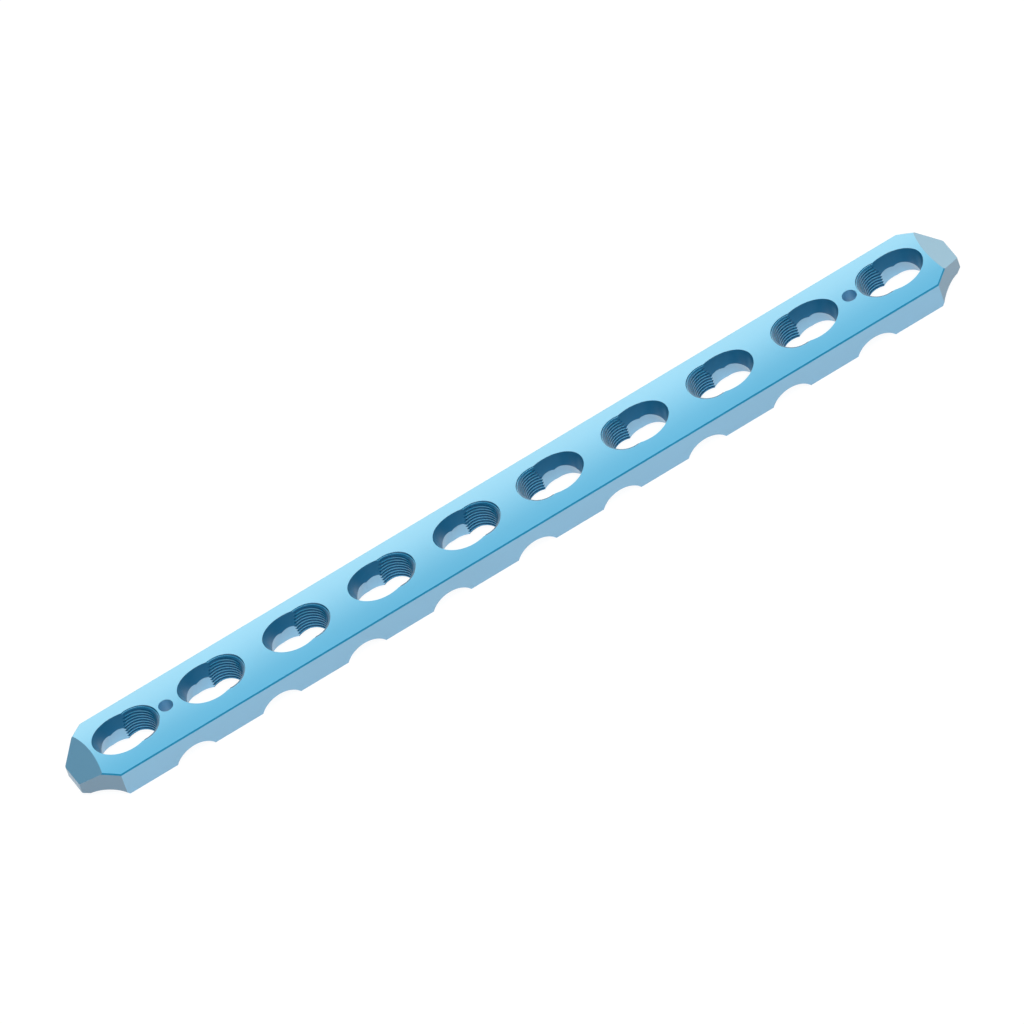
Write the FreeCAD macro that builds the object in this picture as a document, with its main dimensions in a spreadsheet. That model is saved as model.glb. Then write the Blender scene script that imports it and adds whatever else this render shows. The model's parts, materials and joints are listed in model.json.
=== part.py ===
import FreeCAD, Part
import os
import Sketcher

os.makedirs("parts", exist_ok=True)
doc = FreeCAD.newDocument("BonePlate")

# A straight locking and compression plate for a small long bone, machined from one bar.
# It lies along X with its crowned side up. Its underside is hollowed to sit on the bone, so
# it stands on the two long lower edges, at Z = 0. The origin is midway between them, and
# each half mirrors the other, end to end and side to side.

# Driving dimensions, in millimetres and degrees
DIMENSIONS = [
    ("hole_pitch", 13.0),
    ("holes_per_half", 5),
    ("end_margin", 8.65),
    ("plate_width", 11.3),
    ("plate_thickness", 4.8),
    ("crown_radius", 21.0),
    ("saddle_radius", 22.0),
    ("edge_break", 0.15),
    ("corner_length", 4.7),
    ("tip_width", 3.8),
    ("tip_height", 2.4),
    ("tip_radius", 0.5),
    ("bevel_length", 3.4),
    ("scallop_radius", 3.3),
    ("scallop_depth", 1.68),
    ("scallop_tilt", 15.6),
    ("bore_offset", 1.79),
    ("bore_radius", 2.68),
    ("bore_taper", 5.6),
    ("lead_in_radius", 3.03),
    ("lead_in_depth", 0.5),
    ("slot_offset", 0.42),
    ("slot_half_length", 4.23),
    ("slot_half_width", 3.34),
    ("slot_taper", 16.0),
    ("slot_depth", 3.5),
    ("relief_offset", 1.52),
    ("relief_half_length", 3.05),
    ("relief_half_width", 2.78),
    ("relief_cover", 1.4),
    ("relief_roof_offset", 0.34),
    ("relief_roof_half_length", 3.31),
    ("relief_roof_half_width", 2.69),
    ("wire_hole_radius", 1.0),
    ("wire_hole_offset", 6.25),
    ("overcut", 0.4),
]

sheet = doc.addObject("Spreadsheet::Sheet", "Sizes")
for row, (alias, number) in enumerate(DIMENSIONS, start=1):
    sheet.set("A%d" % row, alias)
    sheet.set("B%d" % row, str(number))
    sheet.setAlias("B%d" % row, alias)
doc.recompute()

# Formulas that several features share
END_HOLE_X = "(Sizes.holes_per_half - 0.5) * Sizes.hole_pitch"
HALF_LENGTH = END_HOLE_X + " + Sizes.end_margin"
HALF_WIDTH = "Sizes.plate_width / 2"
THICKNESS = "Sizes.plate_thickness"
OVERCUT = "Sizes.overcut"
REACH = HALF_WIDTH + " + " + OVERCUT

body = doc.addObject("PartDesign::Body", "bone_plate")
body.Label = "bone_plate"


def value(formula):
    """Works a formula out from the sheet."""
    result = sheet.evalExpression(formula.replace("Sizes.", ""))
    return float(getattr(result, "Value", result))


def origin_feature(role):
    return next(item for item in body.Origin.OriginFeatures if item.Role == role)


def new_sketch(name, role, height=None):
    """Starts a sketch on an origin plane, raised off it where a height formula is given."""
    sketch = body.newObject("Sketcher::SketchObject", name)
    sketch.AttachmentSupport = (origin_feature(role), [""])
    sketch.MapMode = "FlatFace"
    if height:
        sketch.setExpression("AttachmentOffset.Base.z", height)
    return sketch


def point(x, y):
    return FreeCAD.Vector(x, y, 0)


def drive(sketch, formula, kind, *where):
    """Adds a dimension that takes its value from the sheet."""
    index = sketch.addConstraint(Sketcher.Constraint(kind, *where, value(formula)))
    sketch.setExpression("Constraints[%d]" % index, formula)


def polygon(sketch, corners):
    """Draws a closed run of lines, each joined to the next. Line i starts at corner i."""
    count = len(corners)
    for start, end in zip(corners, corners[1:] + corners[:1]):
        sketch.addGeometry(Part.LineSegment(point(*start), point(*end)), False)
    for i in range(count):
        sketch.addConstraint(Sketcher.Constraint("Coincident", i, 2, (i + 1) % count, 1))


def oval(name, height, offset, half_length, half_width):
    """Draws an ellipse at a height, its centre the offset nearer the tip than the end hole."""
    sketch = new_sketch(name, "XY_Plane", height)
    x = value(END_HOLE_X) + value(offset)
    length = value(half_length)
    width = value(half_width)
    ellipse = Part.Ellipse(point(length - x, 0), point(-x, width), point(-x, 0))
    sketch.addGeometry(ellipse, False)
    sketch.exposeInternalGeometry(0)
    sketch.addConstraint(Sketcher.Constraint("Horizontal", 1))
    sketch.addConstraint(Sketcher.Constraint("PointOnObject", 0, 3, -1))
    drive(sketch, END_HOLE_X + " + " + offset, "DistanceX", 0, 3, -1, 1)
    drive(sketch, "2 * (" + half_length + ")", "Distance", 1)
    drive(sketch, "2 * (" + half_width + ")", "Distance", 2)
    return sketch


def arc_segment(name, radius_formula, crest_z, closing_z):
    """Draws the profile of a crown or hollow across the plate, on the YZ plane.

    Its arc has its crest on the middle line and ends the overcut beyond both sides.
    Upright lines and a level one at closing_z close it.
    """
    sketch = new_sketch(name, "YZ_Plane")
    radius = value(radius_formula)
    reach = value(REACH)
    edge_z = crest_z - radius + (radius ** 2 - reach ** 2) ** 0.5
    ends = [(reach, edge_z), (-reach, edge_z), (-reach, closing_z), (reach, closing_z)]
    sketch.addGeometry(Part.Arc(point(*ends[0]), point(0, crest_z), point(*ends[1])), False)
    for start, end in zip(ends[1:], ends[2:] + ends[:1]):
        sketch.addGeometry(Part.LineSegment(point(*start), point(*end)), False)
    for i in range(4):
        sketch.addConstraint(Sketcher.Constraint("Coincident", i, 2, (i + 1) % 4, 1))
    sketch.addConstraint(Sketcher.Constraint("PointOnObject", 0, 3, -2))
    sketch.addConstraint(Sketcher.Constraint("Vertical", 1))
    sketch.addConstraint(Sketcher.Constraint("Horizontal", 2))
    sketch.addConstraint(Sketcher.Constraint("Vertical", 3))
    drive(sketch, radius_formula, "Radius", 0)
    drive(sketch, REACH, "DistanceX", -1, 1, 3, 2)
    drive(sketch, REACH, "DistanceX", 1, 2, -1, 1)
    return sketch


def circle(sketch, x_formula, y_formula, radius_formula):
    """Draws a circle that far towards -X, and below the X axis by y_formula where it is given."""
    y = value(y_formula) if y_formula else 0
    centre = point(-value(x_formula), -y)
    sketch.addGeometry(Part.Circle(centre, FreeCAD.Vector(0, 0, 1), value(radius_formula)), False)
    drive(sketch, x_formula, "DistanceX", 0, 3, -1, 1)
    drive(sketch, radius_formula, "Radius", 0)
    if y_formula:
        drive(sketch, y_formula, "DistanceY", 0, 3, -1, 1)
    else:
        sketch.addConstraint(Sketcher.Constraint("PointOnObject", 0, 3, -1))
    return sketch


def cut_through(name, sketch):
    """Cuts a sketch through the whole plate, to both sides of its plane."""
    pocket = body.newObject("PartDesign::Pocket", name)
    pocket.Profile = sketch
    pocket.Type = "ThroughAll"
    pocket.Midplane = True
    return pocket


def cut_loft(name, mouth, end):
    loft = body.newObject("PartDesign::SubtractiveLoft", name)
    loft.Profile = mouth
    loft.Sections = [end]
    loft.Ruled = True
    return loft


def edges_where(feature, test):
    """Names the edges of a feature that pass the test."""
    return ["Edge%d" % i for i, edge in enumerate(feature.Shape.Edges, start=1) if test(edge)]


# Blank: the plan outline with its four corners cut off, as thick as the plate
outline = new_sketch("plan_outline", "XY_Plane")
corner_x = value(HALF_LENGTH) - value("Sizes.corner_length")
side_y = value(HALF_WIDTH)
end_x = value(HALF_LENGTH)
end_y = value("Sizes.tip_width / 2")
polygon(outline, [
    (corner_x, side_y),
    (end_x, end_y),
    (end_x, -end_y),
    (corner_x, -side_y),
    (-corner_x, -side_y),
    (-end_x, -end_y),
    (-end_x, end_y),
    (-corner_x, side_y),
])
drive(outline, HALF_LENGTH + " - Sizes.corner_length", "DistanceX", -1, 1, 0, 1)
drive(outline, HALF_WIDTH, "DistanceY", -1, 1, 0, 1)
drive(outline, HALF_LENGTH, "DistanceX", -1, 1, 1, 1)
drive(outline, "Sizes.tip_width / 2", "DistanceY", -1, 1, 1, 1)
for right, left in ((0, 7), (1, 6), (2, 5), (3, 4)):
    outline.addConstraint(Sketcher.Constraint("Symmetric", right, 1, left, 1, -2))
for back, front in ((0, 3), (1, 2)):
    outline.addConstraint(Sketcher.Constraint("Symmetric", back, 1, front, 1, -1))
blank = body.newObject("PartDesign::Pad", "blank")
blank.Profile = outline
blank.setExpression("Length", THICKNESS)
doc.recompute()

# Crown: the top is one long arc across the plate, which leaves the sides lower than the middle
top_z = value(THICKNESS)
above_z = top_z + value(OVERCUT)
crown_sketch = arc_segment("crown_profile", "Sizes.crown_radius", top_z, above_z)
drive(crown_sketch, "Sizes.crown_radius - " + THICKNESS, "DistanceY", 0, 3, -1, 1)
drive(crown_sketch, THICKNESS + " + " + OVERCUT, "DistanceY", -1, 1, 2, 2)
crown = cut_through("crown", crown_sketch)
doc.recompute()

# Saddle: the underside is a shallow hollow between the two long lower edges
SADDLE_CENTRE = "sqrt(Sizes.saddle_radius ^ 2 - (" + HALF_WIDTH + ") ^ 2)"
saddle_crest_z = value("Sizes.saddle_radius") - value(SADDLE_CENTRE)
below_z = -2 * value(OVERCUT)
saddle_sketch = arc_segment("saddle_profile", "Sizes.saddle_radius", saddle_crest_z, below_z)
drive(saddle_sketch, SADDLE_CENTRE, "DistanceY", 0, 3, -1, 1)
drive(saddle_sketch, "2 * " + OVERCUT, "DistanceY", 2, 1, -1, 1)
saddle = cut_through("saddle", saddle_sketch)
doc.recompute()

# Edge break: a narrow flat along the rim of the crown
half_thickness = top_z / 2
rim_edges = edges_where(saddle, lambda edge: edge.BoundBox.ZMin > half_thickness)
edge_break = body.newObject("PartDesign::Chamfer", "edge_break")
edge_break.Base = (saddle, rim_edges)
edge_break.setExpression("Size", "Sizes.edge_break")
doc.recompute()

# End bevels: a flat slope from the crown down to the blunt tip, at both ends
bevel_sketch = new_sketch("bevel_profile", "XZ_Plane")
slope = (value(THICKNESS) - value("Sizes.tip_height")) / value("Sizes.bevel_length")
run_out = value(OVERCUT)
heel_x = end_x - value("Sizes.bevel_length") - run_out
toe_x = end_x + run_out
heel_z = value(THICKNESS) + slope * run_out
toe_z = value("Sizes.tip_height") - slope * run_out
polygon(bevel_sketch, [(-heel_x, heel_z), (-toe_x, toe_z), (-toe_x, heel_z)])
bevel_sketch.addConstraint(Sketcher.Constraint("Vertical", 1))
bevel_sketch.addConstraint(Sketcher.Constraint("Horizontal", 2))
SLOPE = "(" + THICKNESS + " - Sizes.tip_height) / Sizes.bevel_length"
drive(bevel_sketch, HALF_LENGTH + " - Sizes.bevel_length - " + OVERCUT, "DistanceX", 0, 1, -1, 1)
drive(bevel_sketch, THICKNESS + " + " + OVERCUT + " * " + SLOPE, "DistanceY", -1, 1, 0, 1)
drive(bevel_sketch, HALF_LENGTH + " + " + OVERCUT, "DistanceX", 1, 1, -1, 1)
drive(bevel_sketch, "Sizes.tip_height - " + OVERCUT + " * " + SLOPE, "DistanceY", -1, 1, 1, 1)
end_bevel = cut_through("end_bevel", bevel_sketch)
other_bevel = body.newObject("PartDesign::Mirrored", "other_end_bevel")
other_bevel.Originals = [end_bevel]
other_bevel.MirrorPlane = (origin_feature("YZ_Plane"), [""])
body.Tip = other_bevel
doc.recompute()

# Tip corners: the upright edges of the blunt ends, rounded off
TOUCH = 0.001


def is_upright_tip_edge(edge):
    middle = edge.CenterOfMass
    return abs(abs(middle.x) - end_x) < TOUCH and abs(abs(middle.y) - end_y) < TOUCH


tip_edges = edges_where(other_bevel, is_upright_tip_edge)
tip_rounding = body.newObject("PartDesign::Fillet", "tip_rounding")
tip_rounding.Base = (other_bevel, tip_edges)
tip_rounding.setExpression("Radius", "Sizes.tip_radius")
doc.recompute()

# Scallops: round grooves in from both lower edges, midway between holes and at both ends.
# They run out before they meet, so that the plate touches the bone only beside its holes.
SCALLOP_X = "Sizes.holes_per_half * Sizes.hole_pitch"
SCALLOP_DROP = "Sizes.scallop_radius - Sizes.scallop_depth"
SCALLOP_FALL = " * tan(Sizes.scallop_tilt)"
mouth_drop = SCALLOP_DROP + " - " + OVERCUT + SCALLOP_FALL
root_drop = SCALLOP_DROP + " + " + HALF_WIDTH + SCALLOP_FALL
mouth_plane = new_sketch("scallop_mouth", "XZ_Plane", REACH)
root_plane = new_sketch("scallop_root", "XZ_Plane")
scallop_mouth = circle(mouth_plane, SCALLOP_X, mouth_drop, "Sizes.scallop_radius")
scallop_root = circle(root_plane, SCALLOP_X, root_drop, "Sizes.scallop_radius")
end_scallop = cut_loft("end_scallop", scallop_mouth, scallop_root)
doc.recompute()
scallops = body.newObject("PartDesign::MultiTransform", "scallops")
scallops.Originals = [end_scallop]
scallop_sides = body.newObject("PartDesign::Mirrored", "scallop_sides")
scallop_sides.MirrorPlane = (origin_feature("XZ_Plane"), [""])
scallop_row = body.newObject("PartDesign::LinearPattern", "scallop_row")
scallop_row.Direction = (origin_feature("X_Axis"), [""])
scallop_row.setExpression("Length", "2 * " + SCALLOP_X)
scallop_row.setExpression("Occurrences", "2 * Sizes.holes_per_half + 1")
scallops.Transformations = [scallop_sides, scallop_row]
body.Tip = scallops
doc.recompute()

# Wire holes: plain holes beside the end holes, for pins that hold the plate while it is fitted
WIRE_HOLE_X = END_HOLE_X + " - Sizes.wire_hole_offset"
wire_hole_profile = new_sketch("wire_hole_profile", "XY_Plane")
circle(wire_hole_profile, WIRE_HOLE_X, None, "Sizes.wire_hole_radius")
wire_hole = cut_through("wire_hole", wire_hole_profile)
other_wire_hole = body.newObject("PartDesign::Mirrored", "other_wire_hole")
other_wire_hole.Originals = [wire_hole]
other_wire_hole.MirrorPlane = (origin_feature("YZ_Plane"), [""])
body.Tip = other_wire_hole
doc.recompute()

# Combination hole: a tapered locking bore towards the middle of the plate, run together with
# a tapered slot towards its end, which a relief opens from below so that a screw can lean
SLOT_SPREAD = " * tan(Sizes.slot_taper)"
slot_mouth = oval("slot_mouth", THICKNESS + " + " + OVERCUT, "Sizes.slot_offset",
                  "Sizes.slot_half_length + " + OVERCUT + SLOT_SPREAD,
                  "Sizes.slot_half_width + " + OVERCUT + SLOT_SPREAD)
slot_floor = oval("slot_floor", THICKNESS + " - Sizes.slot_depth", "Sizes.slot_offset",
                  "Sizes.slot_half_length - Sizes.slot_depth" + SLOT_SPREAD,
                  "Sizes.slot_half_width - Sizes.slot_depth" + SLOT_SPREAD)
slot = cut_loft("compression_slot", slot_mouth, slot_floor)

relief_mouth = oval("relief_mouth", None, "Sizes.relief_offset", "Sizes.relief_half_length",
                    "Sizes.relief_half_width")
relief_roof = oval("relief_roof", THICKNESS + " - Sizes.relief_cover", "Sizes.relief_roof_offset",
                   "Sizes.relief_roof_half_length", "Sizes.relief_roof_half_width")
relief = cut_loft("slot_relief", relief_mouth, relief_roof)

# Locking bore: half its profile, with a short lead-in cone at the mouth, turned about its axis
BORE_X = END_HOLE_X + " - Sizes.bore_offset"
BORE_TAPER = " * tan(Sizes.bore_taper)"
BORE_DEPTH = "(" + THICKNESS + " - Sizes.lead_in_depth + " + OVERCUT + ")"
BORE_EXIT_RADIUS = "Sizes.bore_radius - " + BORE_DEPTH + BORE_TAPER
LEAD_IN_SLOPE = " * (Sizes.lead_in_radius - Sizes.bore_radius) / Sizes.lead_in_depth"
MOUTH_RADIUS = "Sizes.lead_in_radius + " + OVERCUT + LEAD_IN_SLOPE
bore_sketch = new_sketch("locking_bore_profile", "XZ_Plane")
axis_x = -value(BORE_X)
polygon(bore_sketch, [
    (axis_x, -value(OVERCUT)),
    (axis_x + value(BORE_EXIT_RADIUS), -value(OVERCUT)),
    (axis_x + value("Sizes.bore_radius"), top_z - value("Sizes.lead_in_depth")),
    (axis_x + value(MOUTH_RADIUS), above_z),
    (axis_x, above_z),
])
bore_sketch.addConstraint(Sketcher.Constraint("Horizontal", 0))
bore_sketch.addConstraint(Sketcher.Constraint("Horizontal", 3))
bore_sketch.addConstraint(Sketcher.Constraint("Vertical", 4))
drive(bore_sketch, BORE_X, "DistanceX", 0, 1, -1, 1)
drive(bore_sketch, OVERCUT, "DistanceY", 0, 1, -1, 1)
drive(bore_sketch, BORE_EXIT_RADIUS, "DistanceX", 0, 1, 0, 2)
drive(bore_sketch, "Sizes.bore_radius", "DistanceX", 0, 1, 1, 2)
drive(bore_sketch, THICKNESS + " - Sizes.lead_in_depth", "DistanceY", -1, 1, 1, 2)
drive(bore_sketch, MOUTH_RADIUS, "DistanceX", 4, 1, 3, 1)
drive(bore_sketch, THICKNESS + " + " + OVERCUT, "DistanceY", -1, 1, 3, 1)
bore = body.newObject("PartDesign::Groove", "locking_bore")
bore.Profile = bore_sketch
bore.ReferenceAxis = (bore_sketch, ["Edge5"])
bore.Angle = 360
doc.recompute()

# The row of holes: the end hole's cuts repeated to the middle, then mirrored to the other half
hole_row = body.newObject("PartDesign::MultiTransform", "hole_row")
hole_row.Originals = [slot, relief, bore]
doc.recompute()
along = body.newObject("PartDesign::LinearPattern", "holes_along")
along.Direction = (origin_feature("X_Axis"), [""])
along.setExpression("Length", "(Sizes.holes_per_half - 1) * Sizes.hole_pitch")
along.setExpression("Occurrences", "Sizes.holes_per_half")
across = body.newObject("PartDesign::Mirrored", "holes_mirrored")
across.MirrorPlane = (origin_feature("YZ_Plane"), [""])
hole_row.Transformations = [along, across]
body.Tip = hole_row
doc.recompute()

# Checks: no failed object, one whole solid, and each feature takes some of the metal away
failed = [item.Name for item in doc.Objects if "Invalid" in item.State or "Error" in item.State]
if failed:
    raise RuntimeError("failed objects: " + ", ".join(failed))
shape = body.Shape
if shape.isNull() or not shape.isValid() or len(shape.Solids) != 1:
    raise RuntimeError("bone_plate isn't one valid solid")
steps = [blank, crown, saddle, edge_break, end_bevel, other_bevel, tip_rounding, end_scallop, scallops,
         wire_hole, other_wire_hole, slot, relief, bore, hole_row]
for before, after in zip(steps, steps[1:]):
    removed = before.Shape.Volume - after.Shape.Volume
    if removed <= 0:
        raise RuntimeError(after.Name + " cuts nothing")
    print("%-16s takes away %9.3f mm3" % (after.Name, removed))

box = shape.optimalBoundingBox()
print("size %.2f x %.2f x %.2f mm" % (box.XLength, box.YLength, box.ZLength))
print("lowest point %.4f mm, volume %.2f mm3" % (box.ZMin, shape.Volume))
shape.exportStep("parts/bone_plate.step")
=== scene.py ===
import bpy
import json
import math
from mathutils import Matrix, Vector


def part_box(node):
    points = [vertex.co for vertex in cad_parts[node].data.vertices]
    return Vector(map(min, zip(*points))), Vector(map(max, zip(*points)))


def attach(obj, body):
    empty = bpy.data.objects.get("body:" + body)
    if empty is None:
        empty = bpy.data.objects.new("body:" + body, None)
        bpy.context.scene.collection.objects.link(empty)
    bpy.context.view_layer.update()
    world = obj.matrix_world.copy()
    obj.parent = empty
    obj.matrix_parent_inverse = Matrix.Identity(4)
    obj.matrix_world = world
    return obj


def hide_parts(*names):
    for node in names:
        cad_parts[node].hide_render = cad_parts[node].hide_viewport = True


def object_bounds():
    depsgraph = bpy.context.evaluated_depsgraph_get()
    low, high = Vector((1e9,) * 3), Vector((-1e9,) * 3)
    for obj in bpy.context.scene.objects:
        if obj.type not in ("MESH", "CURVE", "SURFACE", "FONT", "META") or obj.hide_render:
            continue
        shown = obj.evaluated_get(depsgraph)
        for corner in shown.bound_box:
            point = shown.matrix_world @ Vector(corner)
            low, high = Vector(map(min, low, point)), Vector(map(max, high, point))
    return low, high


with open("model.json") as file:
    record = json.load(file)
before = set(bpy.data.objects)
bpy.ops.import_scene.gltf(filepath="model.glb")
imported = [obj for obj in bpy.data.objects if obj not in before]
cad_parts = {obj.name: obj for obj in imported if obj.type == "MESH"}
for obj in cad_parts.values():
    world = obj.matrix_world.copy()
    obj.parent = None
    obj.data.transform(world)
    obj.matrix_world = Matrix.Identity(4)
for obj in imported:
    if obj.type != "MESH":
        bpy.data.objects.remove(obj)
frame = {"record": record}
cadLow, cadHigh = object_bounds()
mounts = {mount["name"]: mount for mount in frame["record"]["mounts"]}
print("frame loaded")

# The plate is modelled in millimetres, then brought down to metres once it is finished
mmPerMetre = 1000
nodeLow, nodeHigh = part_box("bone_plate")
plate = {
    "length": (nodeHigh.x - nodeLow.x) * mmPerMetre,
    "width": (nodeHigh.y - nodeLow.y) * mmPerMetre,
    "thickness": (nodeHigh.z - nodeLow.z) * mmPerMetre,
    "holePitch": mounts["screw_holes_left"]["dims"]["spacing_x_mm"],
    "holesPerHalf": mounts["screw_holes_left"]["dims"]["count"],
    "crownRadius": 21.0,
    "saddleRadius": 22.0,
    "roundSides": 480,       # leaves the crown's outermost strip wider than the edge break
    "roundSpare": 10,        # what the crown's and the saddle's cylinders have over in length
    "cornerLength": 4.7,
    "tipWidth": 3.8,
    "tipHeight": 2.4,
    "tipRadius": 0.5,
    "tipSides": 6,
    "bevelLength": 3.4,
    "edgeBreak": 0.15,
    "overcut": 0.4,          # how far a cutter stands clear of the metal
    "smoothBelow": math.radians(12),
}
halfLength = plate["length"] / 2
halfWidth = plate["width"] / 2
halfTip = plate["tipWidth"] / 2

touch = 0.001      # places this close are one
nearby = 0.01


def deselectAll():
    bpy.ops.object.select_all(action="DESELECT")


def makeActive(piece):
    deselectAll()
    piece.select_set(True)
    bpy.context.view_layer.objects.active = piece


# Brings the object to the origin, unturned and unscaled, with its place in its mesh
def settle():
    bpy.ops.object.transform_apply(location=True, rotation=True, scale=True)


def giveMaterials(piece):
    for material in plateMaterials:
        piece.data.materials.append(material)


# Names the primitive that was just added, and gives its faces their slot
def newPiece(name, slotNumber):
    piece = bpy.context.active_object
    piece.name = piece.data.name = name
    giveMaterials(piece)
    for face in piece.data.polygons:
        face.material_index = slotNumber
    settle()
    return piece


def editAll(piece):
    makeActive(piece)
    bpy.ops.object.mode_set(mode="EDIT")
    bpy.ops.mesh.select_all(action="SELECT")


# Opens edit mode with those vertices or edges selected whose ends pass the test
def editWhere(piece, kind, wanted):
    makeActive(piece)
    bpy.ops.object.mode_set(mode="EDIT")
    bpy.ops.mesh.select_mode(type=kind)
    bpy.ops.mesh.select_all(action="DESELECT")
    bpy.ops.object.mode_set(mode="OBJECT")
    mesh = piece.data
    if kind == "VERT":
        for vertex in mesh.vertices:
            vertex.select = wanted([vertex.co])
    else:
        for edge in mesh.edges:
            edge.select = wanted([mesh.vertices[i].co for i in edge.vertices])
    bpy.ops.object.mode_set(mode="EDIT")


def leaveEdit():
    bpy.ops.object.mode_set(mode="OBJECT")


# Cuts away what lies beyond a plane, and caps the cut
def sliceOff(piece, place, normal):
    editAll(piece)
    bpy.ops.mesh.bisect(plane_co=place, plane_no=Vector(normal).normalized(),
                        use_fill=True, clear_outer=True)
    leaveEdit()


def combine(piece, cutter, operation="DIFFERENCE"):
    makeActive(piece)
    boolean = piece.modifiers.new(operation.lower(), "BOOLEAN")
    boolean.operation = operation
    boolean.solver = "MANIFOLD"
    boolean.object = cutter
    bpy.ops.object.modifier_apply(modifier=boolean.name)
    bpy.data.objects.remove(cutter)


def duplicate(piece):
    copied = piece.copy()
    copied.data = piece.data.copy()
    bpy.context.collection.objects.link(copied)
    return copied


# Copies a cutter to each (x, halfTurn), and joins the copies in its stead
def repeatAt(piece, places):
    copies = []
    for x, halfTurn in places:
        copied = duplicate(piece)
        copied.location.x = x
        copied.rotation_euler.z = math.pi if halfTurn else 0
        copies.append(copied)
    bpy.data.objects.remove(piece)
    deselectAll()
    for copied in copies:
        copied.select_set(True)
    bpy.context.view_layer.objects.active = copies[0]
    bpy.ops.object.join()
    joined = bpy.context.active_object
    makeActive(joined)
    settle()
    return joined


# Anodised titanium: a clear oxide film over satin metal
film = {
    "index": 2.4,
    "roughness": 0.28,
    "metallic": 0.05,
    "driftScale": 60,        # slow drift of the film's tint
    "driftDetail": 2,
    "driftShare": 0.04,
}
# Face colours: only plateTop is the film's own colour. The rest are painted shading: the edge break,
# ends, corners, hole walls, lead-in and thread are painted darker as shade, the thread's grooves
# darkest and its crests less so, and the sides greyer and the relief walls paler, as a painted
# reflection of the white floor.
faceLooksWithPaintedShade = {
    "plateTop": {"colour": (0.106, 0.51, 0.82)},
    "plateEdgePaintedShade": {"colour": (0.012, 0.26, 0.48), "roughness": 0.30, "index": 1.6},
    "plateSidePaintedReflection": {"colour": (0.14, 0.455, 0.72)},
    "plateEndPaintedShade": {"colour": (0.08, 0.295, 0.49)},
    "plateCornerPaintedShade": {"colour": (0.045, 0.20, 0.34)},
    "plateWallPaintedShade": {"colour": (0.01, 0.14, 0.29), "index": 2.1},
    "plateReliefPaintedReflection": {"colour": (0.18, 0.55, 0.82)},
    "plateLeadInPaintedShade": {"colour": (0.05, 0.35, 0.59), "index": 2.1},
    "plateRidgePaintedShade": {"colour": (0.025, 0.35, 0.61), "roughness": 0.25, "index": 1.8},
    "plateGroovePaintedShade": {"colour": (0.002, 0.11, 0.24), "roughness": 0.25, "index": 1.8},
}

# Slots of the plate's mesh, in the order of the face colours with painted shading
(topSlot, edgeSlot, sideSlot, endSlot, cornerSlot, wallSlot, reliefSlot, leadInSlot, ridgeSlot,
 grooveSlot) = range(len(faceLooksWithPaintedShade))


# Makes one face's material: the film over the colour given, which is painted shading on every face
# but the top
def anodised(name, colour, roughness=film["roughness"], index=film["index"]):
    material = bpy.data.materials.new(name)
    material.use_nodes = True
    nodes = material.node_tree.nodes
    links = material.node_tree.links
    shader = nodes["Principled BSDF"]
    shader.inputs["Metallic"].default_value = film["metallic"]
    shader.inputs["IOR"].default_value = index
    shader.inputs["Roughness"].default_value = roughness
    place = nodes.new("ShaderNodeTexCoord")
    drift = nodes.new("ShaderNodeTexNoise")
    drift.inputs["Scale"].default_value = film["driftScale"]
    drift.inputs["Detail"].default_value = film["driftDetail"]
    tint = nodes.new("ShaderNodeMix")
    tint.data_type = "RGBA"
    darker = [part * (1 - film["driftShare"]) for part in colour]
    lighter = [min(1, part * (1 + film["driftShare"])) for part in colour]
    tint.inputs["A"].default_value = (*darker, 1)
    tint.inputs["B"].default_value = (*lighter, 1)
    links.new(place.outputs["Object"], drift.inputs["Vector"])
    links.new(drift.outputs["Fac"], tint.inputs["Factor"])
    links.new(tint.outputs["Result"], shader.inputs["Base Color"])
    return material


plateMaterials = [anodised(name, **faceLook) for name, faceLook in faceLooksWithPaintedShade.items()]
print("finishes made")


# The bar, cut to its plan outline, crowned above and hollowed below
def makeBlank():
    height = plate["thickness"] + plate["overcut"]     # the crown's cut takes the rest off
    deselectAll()
    bpy.ops.mesh.primitive_cube_add(size=1, location=(0, 0, height / 2),
                                    scale=(plate["length"], plate["width"], height))
    blank = newPiece("bone_plate_finish", topSlot)
    run = plate["cornerLength"]
    rise = halfWidth - halfTip
    for sideX in (-1, 1):
        for sideY in (-1, 1):
            corner = (sideX * halfLength, sideY * halfTip, 0)
            sliceOff(blank, corner, (sideX * rise, sideY * run, 0))
    crownZ = plate["thickness"] - plate["crownRadius"]
    saddleZ = -math.sqrt(plate["saddleRadius"] ** 2 - halfWidth ** 2)
    for radius, centreZ, operation in ((plate["crownRadius"], crownZ, "INTERSECT"),
                                       (plate["saddleRadius"], saddleZ, "DIFFERENCE")):
        bpy.ops.mesh.primitive_cylinder_add(
            vertices=plate["roundSides"], radius=radius, depth=plate["length"] + plate["roundSpare"],
            location=(0, 0, centreZ), rotation=(0, math.pi / 2, 0))
        combine(blank, newPiece("round", topSlot), operation)
    return blank


# The narrow flat along the crown's rim
def breakEdges(blank):
    middle = plate["thickness"] / 2

    def isRim(ends):
        alongX = abs(ends[0].y - ends[1].y) < touch
        inside = max(abs(end.y) for end in ends) < halfWidth - nearby
        return min(end.z for end in ends) > middle and not (alongX and inside)

    editWhere(blank, "EDGE", isRim)
    # The flat takes the edge colour, a darker painted shade
    bpy.ops.mesh.bevel(offset_type="OFFSET", offset=plate["edgeBreak"], segments=1, affect="EDGES",
                       material=edgeSlot, clamp_overlap=False)
    leaveEdit()


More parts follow.
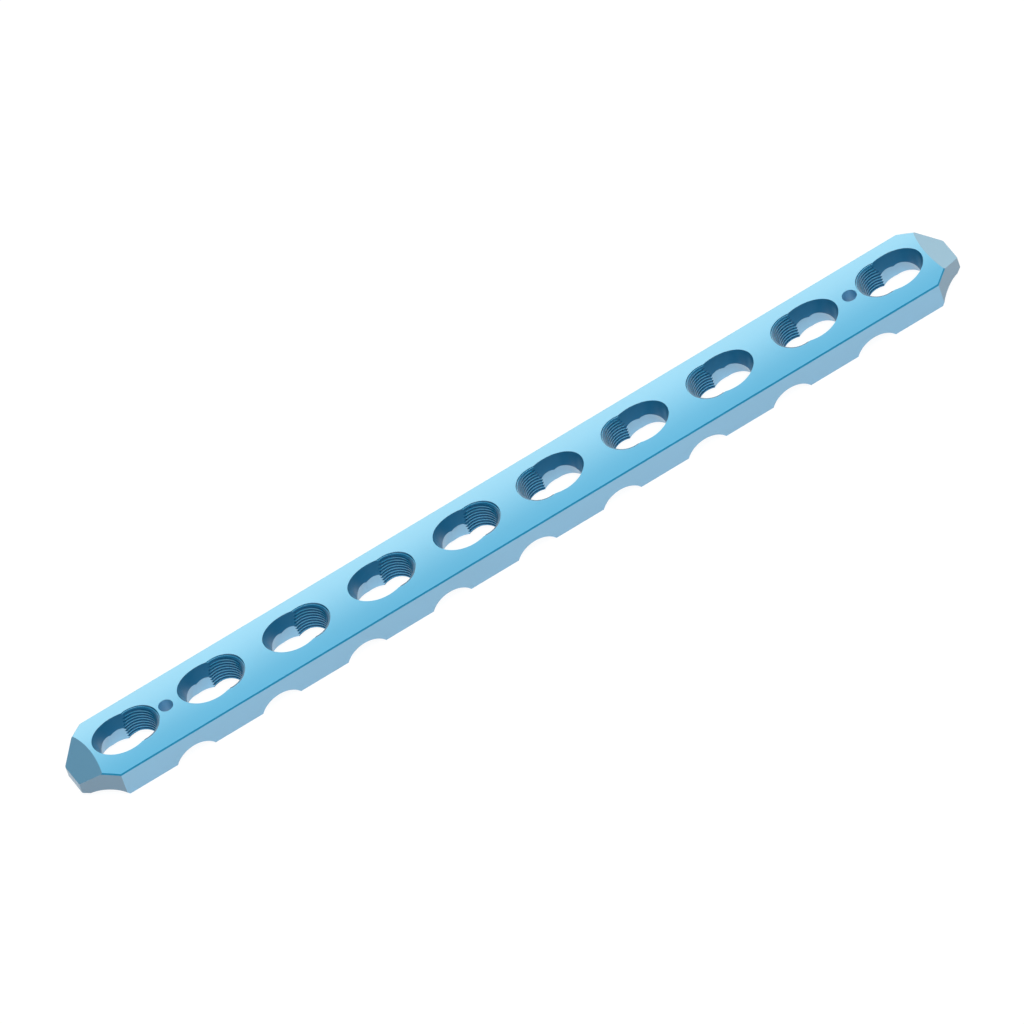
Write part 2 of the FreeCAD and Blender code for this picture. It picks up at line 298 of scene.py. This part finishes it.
# The flat slope at each end, and the rounded corners of the blunt tips
def slopeEnds(blank):
    drop = plate["thickness"] - plate["tipHeight"]
    for side in (-1, 1):
        toe = (side * halfLength, 0, plate["tipHeight"])
        sliceOff(blank, toe, (side * drop, 0, plate["bevelLength"]))
    turn = math.pi / 2 - math.atan2(plate["cornerLength"], halfWidth - halfTip)
    offset = plate["tipRadius"] * math.tan(turn / 2)

    def isTipCorner(ends):
        atTip = min(abs(end.x) for end in ends) > halfLength - touch
        atCorner = min(abs(end.y) for end in ends) > halfTip - nearby
        upright = abs(ends[0].y - ends[1].y) < touch
        return atTip and atCorner and upright

    editWhere(blank, "EDGE", isTipCorner)
    bpy.ops.mesh.bevel(offset_type="OFFSET", offset=offset, segments=plate["tipSides"],
                       affect="EDGES", clamp_overlap=False)
    leaveEdit()


# How far a face's normal leans along Z, then along X
facing = {
    "upright": 0.1,
    "slanted": 0.4,
    "endOn": 0.9,
}


# Gives the outer faces their slots by the way they face, before the holes are cut; the end, corner
# and side slots carry painted shading for that facing, darker on the ends and corners and greyer on
# the sides and underside
def assignSlots(blank):
    for face in blank.data.polygons:
        alongX = abs(face.normal.x)
        if face.material_index == edgeSlot:
            continue
        if abs(face.normal.z) < facing["upright"]:
            if alongX > facing["endOn"]:
                face.material_index = endSlot
            elif alongX > facing["slanted"]:
                face.material_index = cornerSlot
            else:
                face.material_index = sideSlot
        elif alongX > facing["slanted"]:
            face.material_index = endSlot
        else:
            face.material_index = topSlot if face.normal.z > 0 else sideSlot


scallop = {
    "radius": 3.3,
    "depth": 1.68,
    "tilt": math.radians(15.6),
    "sides": 128,
}


# Round grooves in from both lower edges, which run out towards the middle
def cutScallops(blank):
    reach = halfWidth + plate["overcut"]
    fall = reach * math.tan(scallop["tilt"])
    drop = scallop["depth"] - scallop["radius"] + plate["overcut"] * math.tan(scallop["tilt"])
    deselectAll()
    bpy.ops.mesh.primitive_cylinder_add(
        vertices=scallop["sides"], radius=scallop["radius"], depth=reach,
        location=(0, -reach / 2, drop), rotation=(math.pi / 2, 0, 0))
    # The grooves take the side colour, greyer as a painted reflection
    groove = newPiece("scallop_cutter", sideSlot)
    editWhere(groove, "VERT", lambda ends: ends[0].y > -touch)
    bpy.ops.transform.translate(value=(0, 0, -fall))
    leaveEdit()
    count = plate["holesPerHalf"]
    spots = [number * plate["holePitch"] for number in range(-count, count + 1)]
    for halfTurn in (False, True):         # one edge at a time, because the two rows meet
        combine(blank, repeatAt(duplicate(groove), [(x, halfTurn) for x in spots]))
    bpy.data.objects.remove(groove)


wireHole = {
    "sides": 72,
    "cutterLength": 3 * plate["thickness"],
}


def cutWireHoles(blank):
    for name in ("wire_hole_left", "wire_hole_right"):
        mount = mounts[name]
        deselectAll()
        bpy.ops.mesh.primitive_cylinder_add(
            vertices=wireHole["sides"], radius=mount["dims"]["r_mm"],
            depth=wireHole["cutterLength"], location=(mount["pos_m"][0] * mmPerMetre, 0, 0))
        # The wire holes take the side colour, greyer as a painted reflection
        combine(blank, newPiece("wire_cutter", sideSlot))


# Places are along X from a left-hand hole's centre, so the slot end is at -X and the bore at +X.
# Each oval is its centre, half length and half width. Depths are from the top of the crown.
hole = {
    "slotMouth": (-0.50, 4.18, 3.29),
    "slotFloor": (-0.62, 2.73, 1.99),
    "slotDepth": 3.5,
    "reliefMouth": (-1.10, 2.74, 2.58),
    "reliefRoof": (-0.31, 2.67, 2.49),
    "leanMouth": (-1.90, 2.58, 2.58),
    "leanRoof": (-1.24, 2.32, 2.32),
    "roofDepth": 1.4,
    "boreOffset": 1.79,
    "boreRadius": 2.70,
    "boreTaper": math.radians(7.9),
    "leadInRadius": 2.96,
    "leadInDepth": 0.45,
    "stepRadius": 3.04,
    "stepDepth": 0.37,
    "rimRadius": 3.12,
    "rimDepth": 0.33,
    "overlap": 0.005,        # of one cutter of the lead-in with the next
    "sides": 160,
}
thread = {
    "pitch": 0.45,
    "crest": 0.15,
    "depth": 0.22,
    "halfAngle": math.radians(30),
    "start": 0.2,
    "runIn": 0.3,            # how far its cutter goes on above the lead-in's foot
    "spareTurns": 2,
    "steps": 96,
}


# A cutter from one oval to another above it
def ovalCutter(name, slotNumber, lowZ, low, highZ, high):
    deselectAll()
    middle = (lowZ + highZ) / 2
    bpy.ops.mesh.primitive_cylinder_add(vertices=hole["sides"], radius=1, depth=highZ - lowZ,
                                        location=(0, 0, middle))
    cutter = newPiece(name, slotNumber)
    for height, (centre, halfLong, halfWide) in ((lowZ, low), (highZ, high)):
        editWhere(cutter, "VERT", lambda ends: (ends[0].z > middle) == (height > middle))
        bpy.ops.transform.resize(value=(halfLong, halfWide, 1), center_override=(0, 0, height))
        bpy.ops.transform.translate(value=(centre, 0, 0))
        leaveEdit()
    return cutter


# Carries a taper on past its mouth, so that its cutter stands clear of the metal
def pastMouth(mouth, floor, depth):
    return [near + (near - far) * plate["overcut"] / depth for near, far in zip(mouth, floor)]


# One pitch of the thread's profile, turned up the bore
def turnThread():
    pitch, crest, depth = thread["pitch"], thread["crest"], thread["depth"]
    inner = hole["boreRadius"]
    flank = depth * math.tan(thread["halfAngle"])
    profile = [(inner, 0, 0), (inner, 0, crest), (inner + depth, 0, crest + flank),
               (inner + depth, 0, pitch - flank), (inner, 0, pitch)]
    mesh = bpy.data.meshes.new("thread_cutter")
    mesh.from_pydata(profile, [(i, i + 1) for i in range(len(profile) - 1)], [])
    cutter = bpy.data.objects.new("thread_cutter", mesh)
    bpy.context.collection.objects.link(cutter)
    makeActive(cutter)
    start = -plate["overcut"] - thread["spareTurns"] * pitch
    rise = plate["thickness"] + plate["overcut"] - start
    cutter.location.z = start - plate["thickness"] + hole["leadInDepth"] + thread["start"]
    settle()
    screw = cutter.modifiers.new("thread", "SCREW")
    screw.angle = 2 * math.pi
    screw.screw_offset = pitch
    screw.iterations = math.ceil(rise / pitch) + thread["spareTurns"]
    screw.steps = screw.render_steps = thread["steps"]
    screw.use_normal_calculate = True
    bpy.ops.object.modifier_apply(modifier=screw.name)
    editAll(cutter)
    bpy.ops.mesh.remove_doubles(threshold=touch / 2)
    leaveEdit()
    return cutter


# The threaded bore's cutter: trimmed and tapered, with its origin at the foot of the lead-in
def threadCutter():
    cutter = turnThread()
    below = -(plate["thickness"] - hole["leadInDepth"]) - plate["overcut"]
    above = thread["runIn"]
    sliceOff(cutter, (0, 0, below), (0, 0, -1))
    sliceOff(cutter, (0, 0, above), (0, 0, 1))
    giveMaterials(cutter)
    # Faces near the bore's crest take the ridge colour and those deeper in take the darker groove
    # colour: painted shade in the thread, deepest in its grooves
    halfDeep = hole["boreRadius"] + thread["depth"] / 2
    for face in cutter.data.polygons:
        reach = max(cutter.data.vertices[i].co.xy.length for i in face.vertices)
        face.material_index = ridgeSlot if reach < halfDeep else grooveSlot
    taper = cutter.modifiers.new("taper", "SIMPLE_DEFORM")
    taper.deform_method = "TAPER"
    taper.deform_axis = "Z"
    taper.factor = math.tan(hole["boreTaper"]) / hole["boreRadius"] * (above - below)
    bpy.ops.object.modifier_apply(modifier=taper.name)
    editAll(cutter)
    bpy.ops.mesh.normals_make_consistent(inside=False)
    leaveEdit()
    cutter.location = (hole["boreOffset"], 0, plate["thickness"] - hole["leadInDepth"])
    settle()
    return cutter


# Ten combination holes: the slot, the two reliefs below it, the threaded bore, and the lead-in
# over it, with a narrow step and a steep rim
def cutHoles(blank):
    top = plate["thickness"]
    above = top + plate["overcut"]
    slotZ = top - hole["slotDepth"]
    roofZ = top - hole["roofDepth"]
    leadInZ = top - hole["leadInDepth"]
    stepZ = top - hole["stepDepth"]
    rimZ = top - hole["rimDepth"]
    bore, leadIn, step, rim = [
        (hole["boreOffset"], hole[name], hole[name])
        for name in ("boreRadius", "leadInRadius", "stepRadius", "rimRadius")]
    slotTop = pastMouth(hole["slotMouth"], hole["slotFloor"], hole["slotDepth"])
    rimTop = pastMouth(rim, step, hole["rimDepth"])
    overlap = hole["overlap"]
    # The cutters give the hole colours with painted shading: dark slot and rim walls, paler reliefs
    # as a painted reflection, the darkest groove colour at the foot of the lead-in, and a lighter
    # painted shade on the step
    cutters = [
        ovalCutter("slot_cutter", wallSlot, slotZ, hole["slotFloor"], above, slotTop),
        ovalCutter("relief_cutter", reliefSlot, 0, hole["reliefMouth"], roofZ, hole["reliefRoof"]),
        threadCutter(),
        ovalCutter("lean_cutter", reliefSlot, 0, hole["leanMouth"], roofZ, hole["leanRoof"]),
        ovalCutter("lead_in_cutter", grooveSlot, leadInZ, bore, stepZ + overlap, leadIn),
        ovalCutter("step_cutter", leadInSlot, stepZ, leadIn, rimZ + overlap, step),
        ovalCutter("rim_cutter", wallSlot, rimZ, step, above, rimTop),
    ]
    count = plate["holesPerHalf"]
    places = [((number + 0.5) * plate["holePitch"], number >= 0) for number in range(-count, count)]
    for cutter in cutters:
        name = cutter.name
        combine(blank, repeatAt(cutter, places))
        print("cut", name, len(blank.data.polygons), "faces")


def finishPlate(blank):
    makeActive(blank)
    bpy.ops.transform.resize(value=[1 / mmPerMetre] * 3, center_override=(0, 0, 0))
    settle()
    bpy.ops.object.shade_smooth_by_angle(angle=plate["smoothBelow"])
    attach(blank, "root")
    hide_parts("bone_plate")


bonePlate = makeBlank()
print("blank", len(bonePlate.data.polygons), "faces")
breakEdges(bonePlate)
slopeEnds(bonePlate)
assignSlots(bonePlate)
print("ends sloped", len(bonePlate.data.polygons), "faces")
cutScallops(bonePlate)
print("scallops cut", len(bonePlate.data.polygons), "faces")
cutWireHoles(bonePlate)
cutHoles(bonePlate)
finishPlate(bonePlate)
print("plate finished")

# Far off with a very long lens, so that the view is all but parallel
camera = {
    "azimuth": math.radians(-14.95),
    "elevation": math.radians(47.67),
    "roll": math.radians(19.78),
    "lens": 1200,
    "pictureWidth": 0.13221,
    "right": 0.0005,         # the picture's centre, from the middle of the crown
    "up": -0.00154,
    "clip": (0.1, 4),        # as shares of its distance
}


def makeCamera():
    azimuth, elevation, roll = camera["azimuth"], camera["elevation"], camera["roll"]
    towards = Vector((math.sin(azimuth) * math.cos(elevation),
                      -math.cos(azimuth) * math.cos(elevation), math.sin(elevation)))
    level = Vector((math.cos(azimuth), math.sin(azimuth), 0))
    upright = towards.cross(level)
    right = math.cos(roll) * level - math.sin(roll) * upright
    up = math.sin(roll) * level + math.cos(roll) * upright
    bpy.ops.object.camera_add()
    eye = bpy.context.active_object
    eye.data.lens = camera["lens"]
    distance = camera["pictureWidth"] * camera["lens"] / eye.data.sensor_width
    aim = Vector((0, 0, cadHigh.z)) + camera["right"] * right + camera["up"] * up
    turned = Matrix((right, up, towards)).transposed().to_4x4()
    eye.matrix_world = Matrix.Translation(aim + distance * towards) @ turned
    eye.data.clip_start, eye.data.clip_end = [share * distance for share in camera["clip"]]
    bpy.context.scene.camera = eye


makeCamera()

# A pale studio: a broad light behind and to the right, a soft fill from in front, a white floor
studio = {
    "fillFrom": Vector((-0.08, -0.38, 0.92)),
    "fillStrength": 2.7,
    "fillSpread": math.radians(60),
    "brightFrom": Vector((0.55, 0.75, -0.36)),
    "bright": 1.60,
    "brightTint": (1.0, 0.95, 0.80, 1),
    "brightAbove": 0.55,     # facing brightFrom, as a cosine
    "dim": 0.02,
    "dimBelow": -0.12,
    "backdrop": (1, 1, 1, 1),
    "backdropStrength": 1.0,
    "floorSize": 3.0,
    "floorColour": 0.80,
    "floorGlow": 1.06,
    "floorWhite": 0.88,      # how much of the floor the camera and the metal see as plain white
}


# The camera sees the plain backdrop, and all else the light from behind
def makeWorld():
    world = bpy.data.worlds.new("studio")
    bpy.context.scene.world = world
    world.use_nodes = True
    nodes = world.node_tree.nodes
    links = world.node_tree.links
    background = nodes["Background"]
    place = nodes.new("ShaderNodeTexCoord")
    towardsBright = nodes.new("ShaderNodeVectorMath")
    towardsBright.operation = "DOT_PRODUCT"
    towardsBright.inputs[1].default_value = studio["brightFrom"].normalized()
    glow = nodes.new("ShaderNodeMapRange")
    glow.inputs["From Min"].default_value = studio["dimBelow"]
    glow.inputs["From Max"].default_value = studio["brightAbove"]
    glow.inputs["To Min"].default_value = studio["dim"]
    glow.inputs["To Max"].default_value = studio["bright"]
    path = nodes.new("ShaderNodeLightPath")
    strength = nodes.new("ShaderNodeMix")
    strength.inputs["B"].default_value = studio["backdropStrength"]
    links.new(place.outputs["Generated"], towardsBright.inputs[0])
    links.new(towardsBright.outputs["Value"], glow.inputs["Value"])
    links.new(glow.outputs["Result"], strength.inputs["A"])
    links.new(path.outputs["Is Camera Ray"], strength.inputs["Factor"])
    links.new(strength.outputs["Result"], background.inputs["Strength"])
    tint = nodes.new("ShaderNodeMix")
    tint.data_type = "RGBA"
    tint.inputs["A"].default_value = studio["brightTint"]
    tint.inputs["B"].default_value = studio["backdrop"]
    links.new(path.outputs["Is Camera Ray"], tint.inputs["Factor"])
    links.new(tint.outputs["Result"], background.inputs["Color"])


# It lights the film's colour, and leaves the gloss to the light behind
def makeFill():
    bpy.ops.object.light_add(type="SUN")
    fill = bpy.context.active_object
    fill.name = "studio_fill"
    fill.rotation_euler = studio["fillFrom"].to_track_quat("Z", "Y").to_euler()
    fill.data.energy = studio["fillStrength"]
    fill.data.angle = studio["fillSpread"]
    fill.visible_glossy = False


# A matte floor that keeps the plate's shadow, and is nearly plain white to the camera
def makeFloor():
    deselectAll()
    bpy.ops.mesh.primitive_plane_add(size=studio["floorSize"], location=(0, 0, cadLow.z))
    floor = bpy.context.active_object
    floor.name = "studio_floor"
    material = bpy.data.materials.new("studioFloor")
    material.use_nodes = True
    nodes = material.node_tree.nodes
    links = material.node_tree.links
    nodes.remove(nodes["Principled BSDF"])
    matte = nodes.new("ShaderNodeBsdfDiffuse")
    matte.inputs["Color"].default_value = (*[studio["floorColour"]] * 3, 1)
    white = nodes.new("ShaderNodeEmission")
    white.inputs["Strength"].default_value = studio["floorGlow"]
    seen = nodes.new("ShaderNodeMath")
    seen.operation = "MAXIMUM"
    share = nodes.new("ShaderNodeMath")
    share.operation = "MULTIPLY"
    share.inputs[1].default_value = studio["floorWhite"]
    path = nodes.new("ShaderNodeLightPath")
    mix = nodes.new("ShaderNodeMixShader")
    links.new(path.outputs["Is Camera Ray"], seen.inputs[0])
    links.new(path.outputs["Is Glossy Ray"], seen.inputs[1])
    links.new(seen.outputs["Value"], share.inputs[0])
    links.new(share.outputs["Value"], mix.inputs["Fac"])
    links.new(matte.outputs["BSDF"], mix.inputs[1])
    links.new(white.outputs["Emission"], mix.inputs[2])
    links.new(mix.outputs["Shader"], nodes["Material Output"].inputs["Surface"])
    floor.data.materials.append(material)


makeWorld()
makeFill()
makeFloor()
bpy.context.scene.view_settings.view_transform = "Standard"
print("studio ready")
